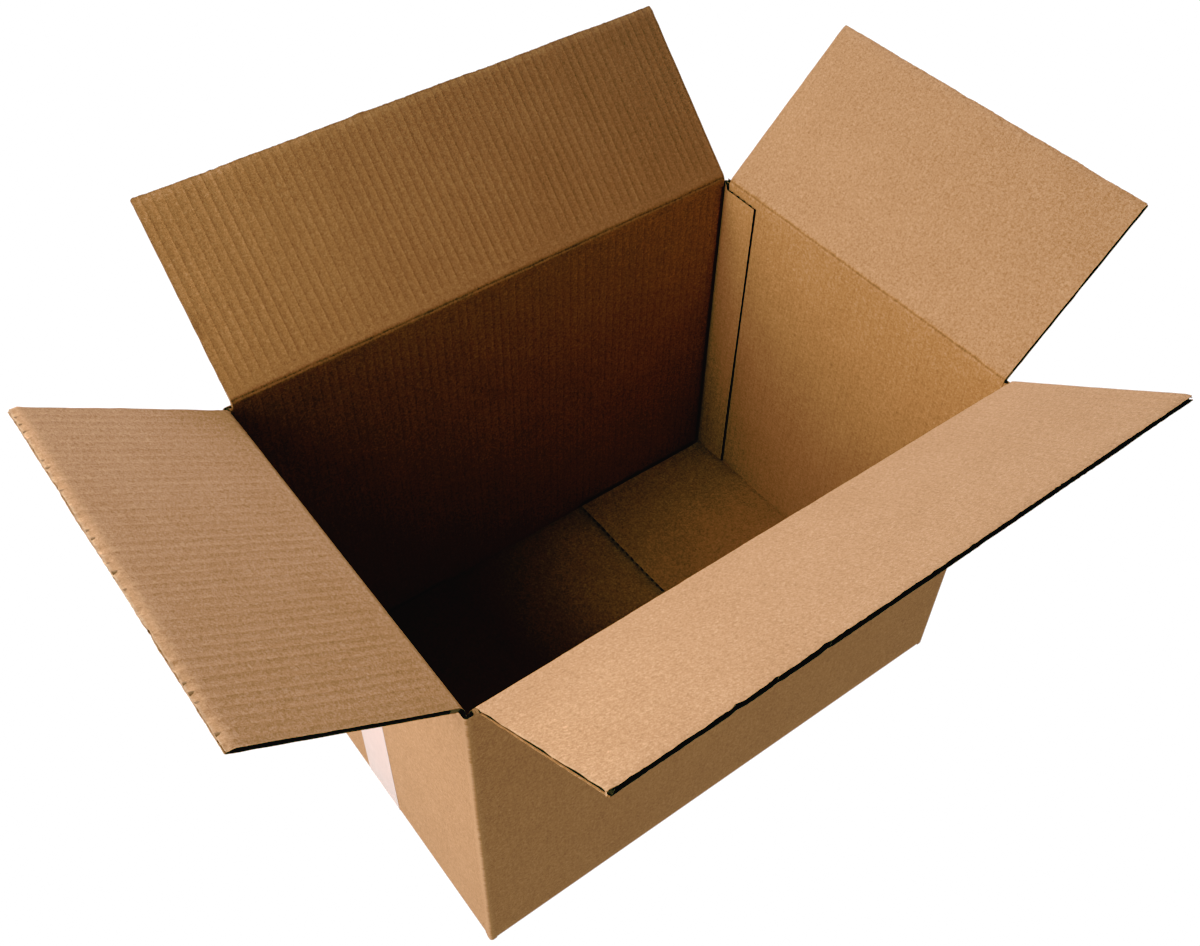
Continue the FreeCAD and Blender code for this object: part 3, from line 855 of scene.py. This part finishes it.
def whisker():
    """A curl of liner torn at the front flap's left corner, and a shred on its side."""
    shape = Shape()
    half = SIDES["front"]["half"] - INSET
    for s0, v0, ds, dv, dd, wide in ((-half + 0.6, REACH - 2.2, -2.6, 3.4, -1.6, 1.1), (-half + 0.4, 96.0, -1.7, 5.5, 0.5, 0.8),
                                     (-half + 0.4, 61.0, -1.3, -4.0, 0.4, 0.7)):
        q = np.linspace(0, 1, 9)[:, None]
        across = np.linspace(-1, 1, 4)[None, :]
        width = wide * (1 - 0.85 * q) * (1 + 0.15 * noise1(q * 20 + s0, 951, 3.0))
        s = s0 + ds * q ** 1.3 + 0.5 * width * across
        v = v0 + dv * q + 0.25 * width * across
        d = BOARD - 0.15 + dd * q ** 1.6 + 0 * across
        A = attr(s, v, 3.1, 0.18 + 0 * s)
        shape.slab(on_flap("front", s, v, d), on_flap("front", s, v, d - 0.18), A, mat=0, rim=2)
    return shape.build("flap_front_shreds", BOARD_MATS)


shreds = whisker()
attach(shreds, "front_flap")
walls = walls_mesh().build("carton_walls", BOARD_MATS)
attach(walls, "carton")
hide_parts("carton_body")
shape = Shape()
for side in ("back", "front", "left", "right"):
    floor_flap(shape, side)
bottom = shape.build("carton_bottom", BOARD_MATS)
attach(bottom, "carton")
tape = tape_mesh()
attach(tape, "carton")
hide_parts("sealing_tape")


# ------------------------------------------------------------------- the stage
def floor():
    mesh = bpy.data.meshes.new("studio_floor")
    mesh.from_pydata([(-6, -6, 0), (6, -6, 0), (6, 6, 0), (-6, 6, 0)], [], [(0, 1, 2, 3)])
    ob = bpy.data.objects.new("studio_floor", mesh)
    bpy.context.scene.collection.objects.link(ob)
    mat = bpy.data.materials.new("studio_white")
    mat.use_nodes = True
    t = mat.node_tree
    bsdf = t.nodes["Principled BSDF"]
    bsdf.inputs["Base Color"].default_value = (0.05, 0.05, 0.05, 1)
    bsdf.inputs["Roughness"].default_value = 0.9
    bsdf.inputs["Specular IOR Level"].default_value = 0.1
    bsdf.inputs["Emission Color"].default_value = (1, 1, 1, 1)
    bsdf.inputs["Emission Strength"].default_value = FLOOR_GLOW
    mesh.materials.append(mat)
    return ob


def lamp(name, direction, distance, size, power, colour, target=(0, 0, 0.25)):
    data = bpy.data.lights.new(name, "AREA")
    data.shape = "DISK"
    data.size = size
    data.energy = power
    data.color = colour
    ob = bpy.data.objects.new(name, data)
    bpy.context.scene.collection.objects.link(ob)
    d = np.array(direction, float)
    d = d / np.linalg.norm(d)
    ob.location = tuple(np.array(target) + d * distance)
    z = Matrix(((1, 0, 0), (0, 1, 0), (0, 0, 1)))
    from mathutils import Vector
    ob.rotation_mode = "QUATERNION"
    ob.rotation_quaternion = Vector(tuple(d)).to_track_quat("Z", "Y")
    return ob


FLOOR_GLOW = 0.90
LAMPS = [
    ("near_left", (-0.80, 0.15, 0.70), 1.1, 0.5, 5.0, (1.04, 1.0, 0.94)),
    ("key", (-0.95, 0.30, 0.45), 1.3, 0.6, 9.2, (1.04, 1.0, 0.94)),
    ("side", (-0.95, -0.10, 0.28), 3.0, 1.3, 26.0, (1.02, 1.0, 0.98)),
    ("back", (0.0, 0.80, 0.55), 3.0, 1.3, 26.0, (1.0, 1.0, 1.0)),
    ("back_right", (0.35, 0.70, 0.62), 3.0, 1.3, 67.0, (0.91, 1.0, 1.17)),
]
WORLD = 0.0
floor()
for args in LAMPS:
    if args[4] > 0:
        lamp(*args)
world = bpy.data.worlds.new("studio")
bpy.context.scene.world = world
world.use_nodes = True
world.node_tree.nodes["Background"].inputs["Color"].default_value = (1.0, 1.0, 1.0, 1)
world.node_tree.nodes["Background"].inputs["Strength"].default_value = WORLD
view = bpy.context.scene.view_settings
view.view_transform = "Standard"
view.use_curve_mapping = True
# the photograph's own contrast: deep shadows and warm darks, the same for every part of the picture
TONE = (
    [(0.0, 0.002), (0.03, 0.003), (0.05, 0.006), (0.066, 0.017), (0.08, 0.037), (0.10, 0.068), (0.12, 0.112), (0.142, 0.146),
     (0.185, 0.20), (0.28, 0.302), (0.37, 0.405), (0.50, 0.53), (0.70, 0.70), (0.80, 0.82), (0.885, 1.0), (1.0, 1.0)],
    [(0.0, 0.002), (0.015, 0.0025), (0.023, 0.0045), (0.030, 0.009), (0.040, 0.021), (0.055, 0.042), (0.097, 0.080), (0.15, 0.138),
     (0.20, 0.188), (0.30, 0.298), (0.40, 0.382), (0.70, 0.70), (0.80, 0.82), (0.885, 1.0), (1.0, 1.0)],
    [(0.0, 0.002), (0.008, 0.0025), (0.018, 0.005), (0.03, 0.011), (0.047, 0.022), (0.06, 0.031), (0.077, 0.042), (0.107, 0.067),
     (0.155, 0.137), (0.22, 0.200), (0.40, 0.385), (0.70, 0.70), (0.80, 0.82), (0.885, 1.0), (1.0, 1.0)],
)
for channel, stops in zip(view.curve_mapping.curves, TONE):
    channel.points[0].location = stops[0]
    channel.points[0].handle_type = "VECTOR"
    channel.points[1].handle_type = "VECTOR"
    for x, y in stops[1:-1]:
        channel.points.new(x, y).handle_type = "VECTOR"
view.curve_mapping.update()

# ------------------------------------------------------------------ the camera
cam_data = bpy.data.cameras.new("camera")
cam = bpy.data.objects.new("camera", cam_data)
bpy.context.scene.collection.objects.link(cam)
FOCAL, CX, CY = 1313.569, 584.092, 470.780
cam_data.sensor_width = 36.0
cam_data.sensor_fit = "HORIZONTAL"
cam_data.lens = FOCAL / 1200.0 * 36.0
cam_data.shift_x = (600.0 - CX) / 1200.0
cam_data.shift_y = (CY - 473.0) / 1200.0
cam_data.clip_start, cam_data.clip_end = 0.02, 50.0
right = np.array([0.8050272, -0.5932368, 0.0011526])
down = np.array([-0.4370087, -0.5943361, -0.6751207])
ahead = np.array([0.4011914, 0.5429868, -0.7377064])
m = Matrix.Identity(4)
for r in range(3):
    m[r][0], m[r][1], m[r][2] = right[r], -down[r], -ahead[r]
m[0][3], m[1][3], m[2][3] = -0.4241479, -0.5289011, 0.9836226
cam.matrix_world = m
bpy.context.scene.camera = cam
